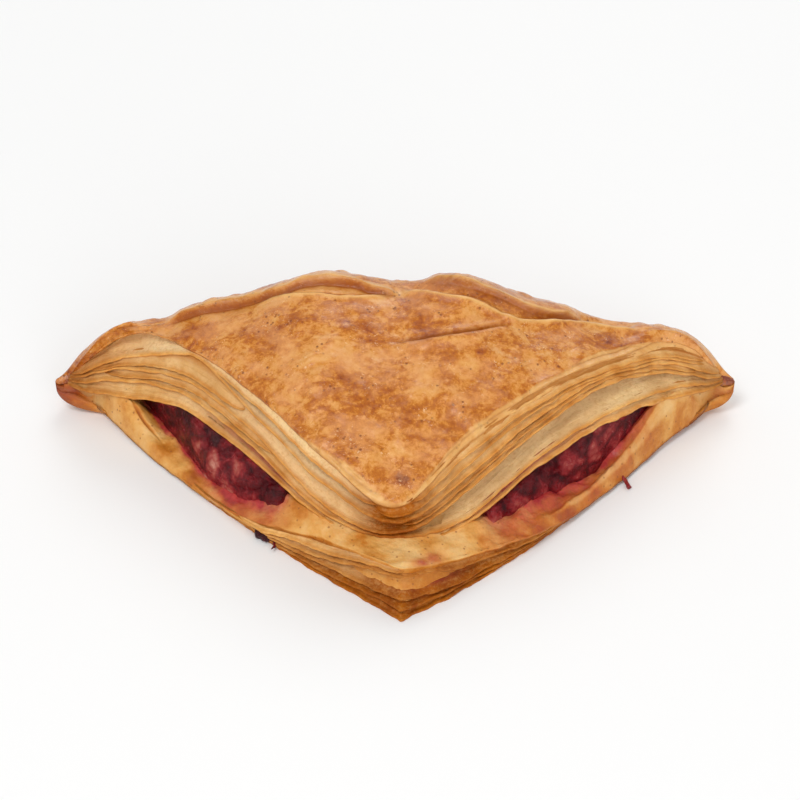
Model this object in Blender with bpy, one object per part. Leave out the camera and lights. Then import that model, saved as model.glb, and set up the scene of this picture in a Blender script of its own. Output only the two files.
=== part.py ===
"""A baked puff-pastry turnover: a square of pastry folded corner to corner over a cherry filling.

Metres, +Z up. X runs along the fold from tip to tip, the cut corner points to -Y, and the
origin is under the middle of the turnover, on the surface it rests on.

The turnover is described by its section at each place x along the fold. A section runs from
the foot (front, on the table) up the cut side, over the top and round the fold at the back.
"""

import math

import bmesh
import bpy

MM = 0.001

# Overall form
HALF_LENGTH = 83.5 * MM
CORNER_X = 1.5 * MM
CORNER_Y = -46.4 * MM
FOLD_Y = 41.2 * MM
FOLD_BULGE = 5.2 * MM
FOLD_WAIST = 0.42
TIP_Y = 35.0 * MM
TIP_FRONT_Y = 32.5 * MM
TIP_HEIGHT = 8.0 * MM
TIP_LENGTH = 13.0 * MM
TIP_SOFTNESS = 3.0 * MM

# The two cut legs: their slope away from the corner, what the slope gains, and how late
LEFT_LEG = (0.92, 0.25, 2.0)
RIGHT_LEG = (0.75, 0.35, 1.0)

# Heights and depths at 11 even stations, from the left tip to the right tip, in millimetres
RIDGE_HEIGHT = (14.0, 24.4, 31.4, 36.8, 41.6, 39.4, 41.0, 35.2, 28.6, 24.4, 15.0)
RIDGE_Y = (35.0, 33.0, 32.0, 30.0, 30.0, 30.0, 30.0, 30.0, 31.0, 32.0, 35.0)
SKIN_EDGE_Y = (35.0, 33.5, 22.0, 3.5, -17.5, -28.0, -12.5, 1.0, 15.5, 30.0, 35.0)
SKIN_EDGE_HEIGHT = (11.0, 21.0, 27.5, 28.0, 25.5, 19.0, 24.5, 28.5, 26.5, 21.0, 12.0)
ROOF_EDGE_Y = (34.0, 26.8, 14.5, -4.0, -20.3, -28.5, -21.5, -6.0, 7.0, 23.0, 34.0)
ROOF_EDGE_HEIGHT = (7.0, 10.4, 15.2, 14.5, 10.4, 10.6, 10.0, 13.8, 17.0, 12.5, 7.5)
BASE_HEIGHT = (5.0, 3.0, 2.2, 3.2, 6.0, 9.0, 6.4, 3.4, 2.4, 3.0, 5.0)
BASE_SETBACK = (1.0, 0.8, 0.8, 0.8, 5.0, 6.0, 4.5, 1.0, 0.8, 0.8, 1.0)

# Leaves of the cut sides: where each leaf's edge lies, from the lowest (0) to the skin (1)
BASE_LEAVES = (0.0, 0.14, 0.38, 0.74, 1.0)
LEFT_LEAVES = (0.0, 0.22, 0.45, 0.60, 0.76, 1.0)
RIGHT_LEAVES = (0.0, 0.07, 0.46, 0.63, 0.80, 1.0)
LEAF_LIP = 1.3 * MM
LEAF_GROOVE = 0.85

# Pockets where leaves stand apart: under the skin on the left, under the pile on the right
POCKET_DEPTH = 5.0 * MM
SKIN_LEAF, SKIN_POCKET = 4, (-60.0 * MM, 13.0 * MM)
PILE_LEAF, PILE_POCKET = 1, (42.0 * MM, 24.0 * MM)

# The mouths that show the filling, and the room inside
LEFT_MOUTH = (-65.0 * MM, -20.0 * MM)
RIGHT_MOUTH = (16.0 * MM, 68.0 * MM)
MOUTH_FULLNESS = 3.2
MOUTH_TUCK = 0.45
MOUTH_REACH = 4.0 * MM
MOUTH_BITE = 0.3 * MM
PINCH_DEPTH = 8.0 * MM
SEAL_DEPTH = 12.0 * MM
ROOM_HALF_LENGTH = 70.0 * MM
ROOM_FLOOR = 5.0 * MM
ROOM_BACK_WALL = 9.0 * MM
FLOOR_SLOPE = 0.16
ROOF_SLOPE = 0.36
CRUST_THICKNESS = 13.0 * MM

# The filling: how far it wells out of each mouth, as a place, a half width and a reach
FILLING_GAP = 0.6 * MM
FILLING_HALF_LENGTH = 62.0 * MM
FILLING_MARGIN = 2.0 * MM
LEFT_WELL = (-40.0 * MM, 22.0 * MM, 8.5 * MM)
RIGHT_WELL = (34.0 * MM, 18.0 * MM, 3.0 * MM)
FILLING_SHOULDER = 4.0 * MM
LUMP_HEIGHT = 0.8 * MM
LUMP_PITCH = 9.0 * MM

# How finely the surfaces are drawn
SECTIONS_PER_SIDE = 40
ROOM_SECTIONS_PER_SIDE = 24
TOP_POINTS = 8
FOLD_POINTS = 7
UNDERSIDE_POINTS = 5
ROOM_POINTS = 6
SHARP_ANGLE = math.radians(40.0)


def start_clean():
    for obj in list(bpy.data.objects):
        bpy.data.objects.remove(obj, do_unlink=True)


def collection_named(name):
    collection = bpy.data.collections.new(name)
    bpy.context.scene.collection.children.link(collection)
    return collection


def mix(a, b, share):
    return a + (b - a) * share


def mix_points(a, b, share):
    return mix(a[0], b[0], share), mix(a[1], b[1], share)


def ease(value, start, end):
    """0 before start, 1 after end, smooth between."""
    share = min(1.0, max(0.0, (value - start) / (end - start)))
    return share * share * (3.0 - 2.0 * share)


def swell(x, centre, half_width, height):
    """The height at the centre, falling smoothly to 0 half_width away."""
    distance = min(1.0, abs(x - centre) / half_width)
    return height * (1.0 - distance * distance) ** 2


def along(x, stations):
    """The value at x of a smooth curve through evenly spaced stations in millimetres."""
    place = (x / HALF_LENGTH + 1.0) / 2.0 * (len(stations) - 1)
    i = min(len(stations) - 2, max(0, int(place)))
    t = place - i
    before, after = stations[max(0, i - 1)], stations[min(len(stations) - 1, i + 2)]
    first, second = stations[i], stations[i + 1]
    slope_in, slope_out = (second - before) / 2.0, (after - first) / 2.0
    rising = 3 * t**2 - 2 * t**3
    curve = mix(first, second, rising)
    curve += (t**3 - 2 * t**2 + t) * slope_in + (t**3 - t**2) * slope_out
    return curve * MM


def foot_y(x):
    """The front edge of the underside: two legs from the corner, ending in blunt tips."""
    slope, gain, power = LEFT_LEG if x < CORNER_X else RIGHT_LEG
    reach = abs(x - CORNER_X)
    leg = CORNER_Y + reach * (slope + gain * (reach / HALF_LENGTH) ** power)
    over = leg - TIP_FRONT_Y
    return TIP_FRONT_Y + (over - math.sqrt(over * over + TIP_SOFTNESS**2)) / 2.0


def back_y(x):
    return FOLD_Y + FOLD_BULGE * (1.0 - (x / HALF_LENGTH) ** 2)


def tip_size(x):
    """The size of the section where the tips round off: 1 along the middle, 0 at the ends."""
    into_tip = max(0.0, abs(x) - (HALF_LENGTH - TIP_LENGTH)) / TIP_LENGTH
    return math.sqrt(max(0.0, 1.0 - into_tip**2))


def base_edge(x):
    """The top edge of the lower sheet of pastry."""
    return foot_y(x) + along(x, BASE_SETBACK), along(x, BASE_HEIGHT)


def roof_edge(x):
    """The lowest leaf edge of the upper pile, which roofs the mouths."""
    return along(x, ROOF_EDGE_Y), along(x, ROOF_EDGE_HEIGHT)


def skin_edge(x):
    """The front edge of the browned top skin."""
    return along(x, SKIN_EDGE_Y), along(x, SKIN_EDGE_HEIGHT)


def ridge(x):
    return along(x, RIDGE_Y), along(x, RIDGE_HEIGHT)


def pile_leaves(x):
    """Where the upper pile's leaves start, from 0 at the roof edge to 1 at the skin edge."""
    side = ease(x, -HALF_LENGTH / 4.0, HALF_LENGTH / 4.0)
    return [mix(left, right, side) for left, right in zip(LEFT_LEAVES, RIGHT_LEAVES)]


def pocket(x, leaf):
    """How far the pastry lies back between a leaf and the next one up."""
    if leaf == SKIN_LEAF:
        return swell(x, *SKIN_POCKET, POCKET_DEPTH)
    if leaf == PILE_LEAF:
        return swell(x, *PILE_POCKET, POCKET_DEPTH)
    return 0.0


def stepped_side(low, high, leaves, recesses):
    """A cut side from the low point to the high one: each leaf's edge, then its groove."""
    for leaf, recess in enumerate(recesses):
        yield mix_points(low, high, leaves[leaf])
        y, z = mix_points(low, high, mix(leaves[leaf], leaves[leaf + 1], LEAF_GROOVE))
        yield y + recess, z
    yield high


def base_side(x):
    """The cut side of the lower sheet, from the foot up."""
    thickness = min(1.0, base_edge(x)[1] / BASE_HEIGHT[5] / MM)
    recesses = [LEAF_LIP * thickness] * (len(BASE_LEAVES) - 1)
    return stepped_side((foot_y(x), 0.0), base_edge(x), BASE_LEAVES, recesses)


def pile_side(x):
    """The cut side of the upper pile, from the roof edge up to the skin edge."""
    recesses = [LEAF_LIP + pocket(x, leaf) for leaf in range(len(LEFT_LEAVES) - 1)]
    return stepped_side(roof_edge(x), skin_edge(x), pile_leaves(x), recesses)


def top_and_fold(x):
    """From the skin edge over the ridge and round the fold at the back to the underside."""
    edge_y, edge_z = skin_edge(x)
    ridge_y, ridge_z = ridge(x)
    for i in range(1, TOP_POINTS + 1):
        share = i / TOP_POINTS
        yield mix(edge_y, ridge_y, share), mix(edge_z, ridge_z, 1.0 - (1.0 - share) ** 1.6)
    depth = back_y(x) - ridge_y
    waist_z = ridge_z * FOLD_WAIST
    for i in range(1, FOLD_POINTS + 1):
        angle = math.pi / 2.0 * i / FOLD_POINTS
        yield ridge_y + depth * math.sin(angle), mix(waist_z, ridge_z, math.cos(angle))
    for i in range(1, FOLD_POINTS):
        angle = math.pi / 2.0 * i / (FOLD_POINTS - 1)
        yield ridge_y + depth * math.sqrt(math.cos(angle)), waist_z * (1.0 - math.sin(angle))


def pastry_section(x):
    """The whole outline at x as (y, z) points, with the mouths and the room still filled."""
    outline = [*base_side(x), *pile_side(x), *top_and_fold(x)]
    fold_foot_y = outline[-1][0]
    for i in range(1, UNDERSIDE_POINTS):
        outline.append((mix(fold_foot_y, foot_y(x), i / UNDERSIDE_POINTS), 0.0))
    return [mix_points((TIP_Y, TIP_HEIGHT), point, tip_size(x)) for point in outline]


def mouth_open(x, margin=0.0):
    """How wide a mouth gapes at x: 0 where the sheets are sealed, 1 at its widest."""
    start, end = LEFT_MOUTH if x < CORNER_X else RIGHT_MOUTH
    from_middle = (x - mix(start, end, 0.5)) / (mix(start, end, 0.5) - start - margin)
    return math.sqrt(max(0.0, 1.0 - abs(from_middle) ** MOUTH_FULLNESS))


def roof_height(x, y):
    """The underside of the upper pile inside the turnover at (x, y)."""
    edge_y, edge_z = roof_edge(x)
    rising = edge_z + MOUTH_BITE + max(0.0, y - edge_y) * ROOF_SLOPE
    return min(rising, max(edge_z, along(x, RIDGE_HEIGHT) - CRUST_THICKNESS))


def floor_height(x, y):
    """The top of the lower sheet inside the turnover, which rises to close a mouth's ends."""
    base_y, base_z = base_edge(x)
    edge_y = roof_edge(x)[0]
    floor = min(ROOM_FLOOR, base_z - MOUTH_BITE + max(0.0, y - base_y) * FLOOR_SLOPE)
    inside = min(1.0, max(0.0, y - edge_y) / SEAL_DEPTH)
    return mix(roof_height(x, edge_y), floor, max(inside, mouth_open(x)))


def seal(x):
    """Where the two sheets meet when the edge is sealed, as (y, z)."""
    y = roof_edge(x)[0] + PINCH_DEPTH
    return y, mix(floor_height(x, y), roof_height(x, y), 0.5)


def room_front(x):
    return roof_edge(x)[0] + SEAL_DEPTH


def room_back(x):
    return max(room_front(x) + 3.0 * MM, back_y(x) - ROOM_BACK_WALL)


def toward_seal(x, points, half_length):
    """The points of a section, drawn together towards the ends of the room or its filling."""
    size = math.sqrt(max(0.0, 1.0 - (x / half_length) ** 6))
    return [(y, mix(seal(x)[1], z, size)) for y, z in points]


def mouth_section(x):
    """The front of the room at x, low side then high side: the gape, or the seal behind it."""
    seal_y, seal_z = seal(x)
    reach = ease(mouth_open(x), 0.0, MOUTH_TUCK)
    outer_y, edge_y = foot_y(x) - MOUTH_REACH, roof_edge(x)[0]
    low, high = [], []
    for y, nudge in ((outer_y, 0.0), (base_edge(x)[0], MM), (edge_y, 2.0 * MM)):
        sealed = (seal_y + nudge, seal_z - nudge)
        low.append(mix_points(sealed, (y, floor_height(x, y)), reach))
    for y, nudge in ((edge_y, MM), (outer_y, MM / 2.0)):
        sealed = (seal_y + nudge, seal_z + nudge)
        high.append(mix_points(sealed, (y, roof_height(x, y)), reach))
    return low, high


def room_section(x):
    """The room for the filling at x, which reaches out past the foot where a mouth is open."""
    outline, high = mouth_section(x)
    for i in range(ROOM_POINTS):
        y = mix(room_front(x), room_back(x), i / (ROOM_POINTS - 1))
        outline.append((y, floor_height(x, y)))
    for i in range(ROOM_POINTS):
        y = mix(room_back(x), room_front(x), i / (ROOM_POINTS - 1))
        outline.append((y, roof_height(x, y)))
    return toward_seal(x, [*outline, *high], ROOM_HALF_LENGTH)


def filling_section(x):
    """The filling at x: it fills the room, and its face leans out onto the lower sheet."""
    opening = ease(mouth_open(x, FILLING_MARGIN), 0.0, 1.0)
    edge_y = roof_edge(x)[0]
    well = swell(x, *LEFT_WELL) + swell(x, *RIGHT_WELL)
    sealed_y = room_front(x) + FILLING_GAP
    face_y = mix(sealed_y, max(edge_y - well, foot_y(x) + MM), opening)
    back = room_back(x) - FILLING_GAP
    shoulder_y = min(back - MM / 2.0, mix(sealed_y, edge_y, opening) + FILLING_SHOULDER)
    lump = LUMP_HEIGHT * math.sin(x / LUMP_PITCH * math.tau)
    outline = []
    for i in range(ROOM_POINTS):
        angle = math.pi / 2.0 * i / (ROOM_POINTS - 1)
        y = mix(shoulder_y, face_y, math.cos(angle)) + lump * math.sin(2.0 * angle)
        low = floor_height(x, y) + FILLING_GAP
        high = roof_height(x, max(y, edge_y)) - FILLING_GAP - LUMP_HEIGHT
        outline.append((y, mix(low, high, math.sin(angle))))
    for i in range(1, ROOM_POINTS):
        y = mix(shoulder_y, back, i / (ROOM_POINTS - 1))
        outline.append((y, roof_height(x, y) - FILLING_GAP - LUMP_HEIGHT))
    for i in range(ROOM_POINTS):
        y = mix(back, face_y + MM / 4.0, i / (ROOM_POINTS - 1))
        outline.append((y, floor_height(x, y) + FILLING_GAP))
    return toward_seal(x, outline, FILLING_HALF_LENGTH)


def stations(half_length, per_side):
    """Places along x with one at the corner, closer together towards both ends."""
    places = [CORNER_X]
    for i in range(1, per_side):
        share = math.sin(math.pi / 2.0 * i / per_side)
        places.append(mix(CORNER_X, half_length, share))
        places.append(mix(CORNER_X, -half_length, share))
    return sorted(places)


def loft(name, half_length, per_side, section):
    """A closed mesh through the sections, closed by a point at each end."""
    mesh = bmesh.new()
    rings = []
    for x in stations(half_length, per_side):
        rings.append([mesh.verts.new((x, y, z)) for y, z in section(x)])
    for ring, following in zip(rings, rings[1:]):
        for i in range(len(ring)):
            j = (i + 1) % len(ring)
            mesh.faces.new((ring[i], ring[j], following[j], following[i]))
    for x, ring in ((-half_length, rings[0]), (half_length, rings[-1])):
        points = section(x)
        y, z = (sum(values) / len(points) for values in zip(*points))
        end = mesh.verts.new((x, y, z))
        for i in range(len(ring)):
            mesh.faces.new((ring[i], ring[(i + 1) % len(ring)], end))
    bmesh.ops.recalc_face_normals(mesh, faces=mesh.faces)
    data = bpy.data.meshes.new(name)
    mesh.to_mesh(data)
    mesh.free()
    data.shade_smooth()
    data.set_sharp_from_angle(angle=SHARP_ANGLE)
    return bpy.data.objects.new(name, data)


def finish_named(name, colour, roughness):
    material = bpy.data.materials.new(name)
    material.use_nodes = True
    shader = material.node_tree.nodes["Principled BSDF"]
    shader.inputs["Base Color"].default_value = (*colour, 1.0)
    shader.inputs["Roughness"].default_value = roughness
    shader.inputs["Metallic"].default_value = 0.0
    return material


def make_pastry(parts, cutters):
    pastry = loft("pastry", HALF_LENGTH, SECTIONS_PER_SIDE, pastry_section)
    pastry.data.materials.append(finish_named("baked_pastry", (0.72, 0.40, 0.14), 0.45))
    parts.objects.link(pastry)
    room = loft("filling_room", ROOM_HALF_LENGTH, ROOM_SECTIONS_PER_SIDE, room_section)
    cutters.objects.link(room)
    room.hide_render = True
    room.display_type = "WIRE"
    cut = pastry.modifiers.new("room_for_filling", "BOOLEAN")
    cut.operation = "DIFFERENCE"
    cut.object = room


def make_filling(parts):
    filling = loft("filling", FILLING_HALF_LENGTH, ROOM_SECTIONS_PER_SIDE, filling_section)
    filling.data.materials.append(finish_named("cherry_filling", (0.28, 0.02, 0.04), 0.25))
    parts.objects.link(filling)


def main():
    start_clean()
    parts = collection_named("turnover")
    cutters = collection_named("cutters")
    make_pastry(parts, cutters)
    make_filling(parts)


main()
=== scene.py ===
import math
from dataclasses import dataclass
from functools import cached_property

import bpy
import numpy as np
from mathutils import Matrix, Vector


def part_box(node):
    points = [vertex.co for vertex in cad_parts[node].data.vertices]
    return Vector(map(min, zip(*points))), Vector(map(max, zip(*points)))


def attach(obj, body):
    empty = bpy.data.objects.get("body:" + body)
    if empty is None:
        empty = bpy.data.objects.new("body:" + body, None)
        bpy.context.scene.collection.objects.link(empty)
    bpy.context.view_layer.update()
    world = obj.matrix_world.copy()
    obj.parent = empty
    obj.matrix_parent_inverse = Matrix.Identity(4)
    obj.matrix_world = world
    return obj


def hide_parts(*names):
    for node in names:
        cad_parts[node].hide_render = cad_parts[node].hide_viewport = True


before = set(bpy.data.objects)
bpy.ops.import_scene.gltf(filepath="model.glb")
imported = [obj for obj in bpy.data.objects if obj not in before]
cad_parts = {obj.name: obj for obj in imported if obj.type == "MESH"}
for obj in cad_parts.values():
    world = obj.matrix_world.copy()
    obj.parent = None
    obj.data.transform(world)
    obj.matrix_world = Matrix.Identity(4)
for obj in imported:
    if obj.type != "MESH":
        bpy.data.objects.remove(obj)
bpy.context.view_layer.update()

# The looks of a baked puff-pastry turnover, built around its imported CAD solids.
#
# Shapes are worked out in millimetres, in sections across the fold: x runs from tip to tip, y from
# the cut corner towards the fold, z up. The outline curves are those that the solids are made from.
# Values that change from tip to tip are either evenly spaced stations, for along, or (x, value)
# knots, for route.

LOW, HIGH = (Vector(corner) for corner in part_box("pastry"))
HALF_LENGTH = 83.5
MM = (HIGH.x - LOW.x) / 2.0 / HALF_LENGTH

# ---------------------------------------------------------------- the turnover's outline
CORNER_X = 1.5
CORNER_Y = -46.4
FOLD_Y, FOLD_BULGE, FOLD_WAIST = 41.2, 5.2, 0.42
TIP_Y, TIP_FRONT_Y, TIP_HEIGHT = 35.0, 32.5, 8.0
TIP_LENGTH, TIP_SOFTNESS = 13.0, 3.0
LEFT_LEG = (0.92, 0.25, 2.0)
RIGHT_LEG = (0.75, 0.35, 1.0)

RIDGE_HEIGHT = (14.0, 24.4, 31.4, 36.8, 41.6, 39.4, 41.0, 35.2, 28.6, 24.4, 15.0)
RIDGE_Y = (35.0, 33.0, 32.0, 30.0, 30.0, 30.0, 30.0, 30.0, 31.0, 32.0, 35.0)
SKIN_EDGE_Y = (35.0, 33.5, 22.0, 3.5, -17.5, -28.0, -12.5, 1.0, 15.5, 30.0, 35.0)
SKIN_EDGE_HEIGHT = (11.0, 21.0, 27.5, 28.0, 25.5, 19.0, 24.5, 28.5, 26.5, 21.0, 12.0)
ROOF_EDGE_Y = (34.0, 26.8, 14.5, -4.0, -20.3, -28.5, -21.5, -6.0, 7.0, 23.0, 34.0)
ROOF_EDGE_HEIGHT = (7.0, 10.4, 15.2, 14.5, 10.4, 10.6, 10.0, 13.8, 17.0, 12.5, 7.5)
BASE_HEIGHT = (5.0, 3.0, 2.2, 3.2, 6.0, 9.0, 6.4, 3.4, 2.4, 3.0, 5.0)
BASE_SETBACK = (1.0, 0.8, 0.8, 0.8, 5.0, 6.0, 4.5, 1.0, 0.8, 0.8, 1.0)

LEFT_MOUTH = (-64.0, -22.0)
RIGHT_MOUTH = (17.0, 67.0)
MOUTH_FULLNESS = 3.2
# How far the lower sheet has sunk from the leaves above it: 0 sealed, 1 in an open mouth
MOUTH_GAPE = (
    (-64.5, 0.0), (-57.5, 1.0), (-33, 1.0), (-20, 0.0), (15, 0.0), (26, 1.0), (46, 1.0), (55, 0.7),
    (62.5, 0.0),
)
ROOM_FLOOR, FLOOR_SLOPE = 5.0, 0.16
ROOF_SLOPE, CRUST_THICKNESS = 0.36, 13.0
ROOM_BACK_WALL = 9.0

# ---------------------------------------------------------------- small tools


def mix(a, b, share):
    return a + (b - a) * share


def ease(value, start, end):
    """Rises smoothly from 0 at start to 1 at end."""
    share = np.clip((value - start) / (end - start), 0.0, 1.0)
    return share * share * (3.0 - 2.0 * share)


def fall(value, start, end):
    """Falls smoothly from 1 at start to 0 at end."""
    return 1.0 - ease(value, start, end)


def hill(across, half_width):
    """1 at across = 0, with a third of that left at half_width."""
    return np.exp(-((across / half_width) ** 2))


def swell(x, centre, half_width, height=1.0):
    """A rise around centre that ends at half_width."""
    distance = np.minimum(1.0, np.abs(x - centre) / half_width)
    return height * (1.0 - distance * distance) ** 2


def round_off(into):
    """The quarter circle that ends a shape: 1 at into = 0, 0 at into = 1."""
    return np.sqrt(np.maximum(0.0, 1.0 - into**2))


def along(x, stations):
    """The values at x of a smooth curve through evenly spaced stations from tip to tip."""
    values = np.asarray(stations, float)
    place = np.clip((x / HALF_LENGTH + 1.0) / 2.0, 0.0, 1.0) * (len(values) - 1)
    i = np.minimum(place.astype(int), len(values) - 2)
    t = place - i
    before, after = values[np.maximum(i - 1, 0)], values[np.minimum(i + 2, len(values) - 1)]
    first, second = values[i], values[i + 1]
    slope_in, slope_out = (second - before) / 2.0, (after - first) / 2.0
    curve = mix(first, second, 3 * t**2 - 2 * t**3)
    return curve + (t**3 - 2 * t**2 + t) * slope_in + (t**3 - t**2) * slope_out


def route(x, knots, soft=2.5):
    """The values at x of a rounded-off line through (x, value) knots."""
    places, values = zip(*knots)
    fine = np.arange(-100.0, 100.5, 0.5)
    kernel = np.exp(-0.5 * (np.arange(-20, 21) * 0.5 / soft) ** 2)
    line = np.pad(np.interp(fine, places, values), 20, mode="edge")
    return np.interp(x, fine, np.convolve(line, kernel / kernel.sum(), "valid"))


def stations_of(count, start=-HALF_LENGTH, end=HALF_LENGTH):
    """Places along x, a little closer together towards the ends."""
    u = np.linspace(-1.0, 1.0, count)
    return mix(start, end, 0.5 + 0.5 * (0.7 * u + 0.3 * np.sin(math.pi / 2.0 * u)))


def pair(y, z):
    return np.stack(np.broadcast_arrays(y, z), -1)


class Grain:
    """Smooth seeded noise over points in millimetres, from about -1 to 1.

    On the skin and the leaves the last coordinate only picks one of many unrelated patterns.
    """

    def __init__(self, seed):
        draw = np.random.default_rng(seed)
        self.order = np.tile(draw.permutation(256), 3)
        slopes = draw.normal(size=(256, 3))
        self.slopes = slopes / np.linalg.norm(slopes, axis=1)[:, None]

    def pick(self, cell):
        """A number from 0 to 255 for each cell, the same each time."""
        w = cell & 255
        return self.order[self.order[self.order[w[..., 0]] + w[..., 1]] + w[..., 2]]

    def __call__(self, size, x, y=0.0, z=0.0):
        x, y, z = np.broadcast_arrays(x, y, z)
        points = np.stack([x, y, z], -1) / size + 512.0
        cell = np.floor(points).astype(int)
        part = points - cell
        soft = part**3 * (part * (part * 6.0 - 15.0) + 10.0)
        total = np.zeros(x.shape)
        for corner in range(8):
            step = np.array([corner & 1, corner >> 1 & 1, corner >> 2 & 1])
            weight = np.where(step == 1, soft, 1.0 - soft).prod(-1)
            total += weight * (self.slopes[self.pick(cell + step)] * (part - step)).sum(-1)
        return total * 1.6

    def layered(self, size, x, y=0.0, z=0.0, octaves=3):
        """The noise with finer, weaker noise on top."""
        total = 0.0
        for octave in range(octaves):
            total = total + self(size / 2.0**octave, x, y, z) / 2.0**octave
        return total

    def cells(self, size, points):
        """Distances to the nearest and next seed, in cells, and a number from 0 to 1 for the nearest."""
        draw = np.random.default_rng(int(self.order[0]))
        jitter, numbers = draw.random((256, 3)), draw.random(256)
        spot = points / size + 512.0
        cell = np.floor(spot).astype(int)
        first = np.full(points.shape[:-1], 9.0)
        second, number = first.copy(), first.copy()
        for i in range(27):
            near = cell + np.array([i % 3 - 1, i // 3 % 3 - 1, i // 9 - 1])
            pick = self.pick(near)
            distance = np.linalg.norm(near + jitter[pick] - spot, axis=-1)
            second = np.minimum(second, np.maximum(first, distance))
            number = np.where(distance < first, numbers[pick], number)
            first = np.minimum(first, distance)
        return first, second, number


shape_grain = Grain(11)
wrinkle_grain = Grain(12)
bake_grain = Grain(13)
jam_grain = Grain(31)

# ---------------------------------------------------------------- outline functions


def foot_y(x, rounding=0.6):
    reach = np.sqrt((x - CORNER_X) ** 2 + rounding**2) - rounding
    left = reach * (LEFT_LEG[0] + LEFT_LEG[1] * (reach / HALF_LENGTH) ** LEFT_LEG[2])
    right = reach * (RIGHT_LEG[0] + RIGHT_LEG[1] * (reach / HALF_LENGTH) ** RIGHT_LEG[2])
    over = CORNER_Y + np.where(x < CORNER_X, left, right) - TIP_FRONT_Y
    return TIP_FRONT_Y + (over - np.sqrt(over * over + TIP_SOFTNESS**2)) / 2.0


def back_y(x):
    return FOLD_Y + FOLD_BULGE * (1.0 - (x / HALF_LENGTH) ** 2)


def tip_size(x):
    return round_off(np.maximum(0.0, np.abs(x) - (HALF_LENGTH - TIP_LENGTH)) / TIP_LENGTH)


def base_edge(x):
    return pair(foot_y(x, 3.0) + along(x, BASE_SETBACK), along(x, BASE_HEIGHT))


def roof_edge(x):
    return pair(along(x, ROOF_EDGE_Y), along(x, ROOF_EDGE_HEIGHT))


def skin_edge(x):
    return pair(along(x, SKIN_EDGE_Y), along(x, SKIN_EDGE_HEIGHT))


def ridge(x):
    return pair(along(x, RIDGE_Y), along(x, RIDGE_HEIGHT))


def mouth_open(x, margin=0.0):
    """How open the cut side is at x: 1 in the middle of a mouth, 0 beyond its ends."""
    start = np.where(x < CORNER_X, LEFT_MOUTH[0], RIGHT_MOUTH[0])
    end = np.where(x < CORNER_X, LEFT_MOUTH[1], RIGHT_MOUTH[1])
    from_middle = (x - (start + end) / 2.0) / ((end - start) / 2.0 - margin)
    return np.sqrt(np.maximum(0.0, 1.0 - np.abs(from_middle) ** MOUTH_FULLNESS))


def roof_height(x, y):
    edge = roof_edge(x)
    rising = edge[..., 1] + np.maximum(0.0, y - edge[..., 0]) * ROOF_SLOPE
    return np.minimum(rising, np.maximum(edge[..., 1], along(x, RIDGE_HEIGHT) - CRUST_THICKNESS))


# ---------------------------------------------------------------- meshes

# How far the points that within returns lie in front of the fold's back and under the ridge's curve
FOLD_CLEARANCE, RIDGE_CLEARANCE = 6.0, 3.5


def mesh_object(name, vertices, faces, materials, values=None, face_material=None):
    data = bpy.data.meshes.new(name)
    data.from_pydata((np.asarray(vertices) * MM).tolist(), [], faces)
    for material in materials:
        data.materials.append(material)
    if face_material is not None:
        data.polygons.foreach_set("material_index", np.asarray(face_material, np.int32))
    for key, numbers in (values or {}).items():
        layer = data.attributes.new(key, "FLOAT", "POINT")
        layer.data.foreach_set("value", np.asarray(numbers, np.float32))
    data.shade_smooth()
    data.update()
    obj = bpy.data.objects.new(name, data)
    bpy.context.scene.collection.objects.link(obj)
    return obj


def ring_faces(rows, columns):
    """Quads around closed rings, and a fan at each end, for rows rings of columns points."""
    index = np.arange(rows * columns).reshape(rows, columns)
    across = np.roll(index, -1, axis=1)
    faces = np.stack([index[:-1], index[1:], across[1:], across[:-1]], -1).reshape(-1, 4).tolist()
    start, end = rows * columns, rows * columns + 1
    for j in range(columns):
        k = (j + 1) % columns
        faces.append([start, j, k])
        faces.append([end, int(index[-1, k]), int(index[-1, j])])
    return faces


def with_x(x, rings):
    """Rings of (y, z) points at the stations x, as (x, y, z) points."""
    return np.concatenate([np.broadcast_to(x[:, None, None], (*rings.shape[:2], 1)), rings], -1)


def loft(name, points, materials, values, face_material=None):
    """A closed skin over rings of points, with a value at each point for every attribute."""
    rows, columns = points.shape[:2]
    ends = np.stack([points[0].mean(0), points[-1].mean(0)])
    spread = {}
    for key, grid in values.items():
        grid = np.broadcast_to(grid, (rows, columns))
        spread[key] = np.concatenate([grid.ravel(), [grid[0].mean(), grid[-1].mean()]])
    vertices = np.concatenate([points.reshape(-1, 3), ends])
    return mesh_object(name, vertices, ring_faces(rows, columns), materials, spread, face_material)


def distance_along(rings):
    """How far each point of a ring lies from the ring's first, measured along it."""
    steps = np.linalg.norm(np.diff(rings, axis=1), axis=2)
    return np.concatenate([np.zeros((len(rings), 1)), steps], 1).cumsum(1)


def towards_tip(x, rings):
    """Rings drawn together where the tips round off, a little blunter than the solids."""
    size = tip_size(x)[:, None, None] ** 0.75
    return mix(np.array([TIP_Y, TIP_HEIGHT]), rings, size)


def within(x, points):
    """Points kept well inside the fold's outer surface."""
    top = ridge(x)
    y = np.minimum(points[..., 0], back_y(x) - FOLD_CLEARANCE)
    over = np.clip((y - top[..., 0]) / (back_y(x) - top[..., 0]), 0.0, 1.0)
    surface = top[..., 1] * mix(FOLD_WAIST, 1.0, np.sqrt(1.0 - over**2))
    low = np.minimum(points[..., 1], surface - RIDGE_CLEARANCE)
    return pair(y, np.where(over > 0.0, low, points[..., 1]))


def proud(points, relief):
    """An open grid of points (rows along x, columns up and over) moved outwards by the relief."""
    normal = np.cross(np.gradient(points, axis=0), np.gradient(points, axis=1))
    normal /= np.maximum(1e-9, np.linalg.norm(normal, axis=-1, keepdims=True))
    return points + normal * relief[..., None]


# ---------------------------------------------------------------- materials


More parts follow.
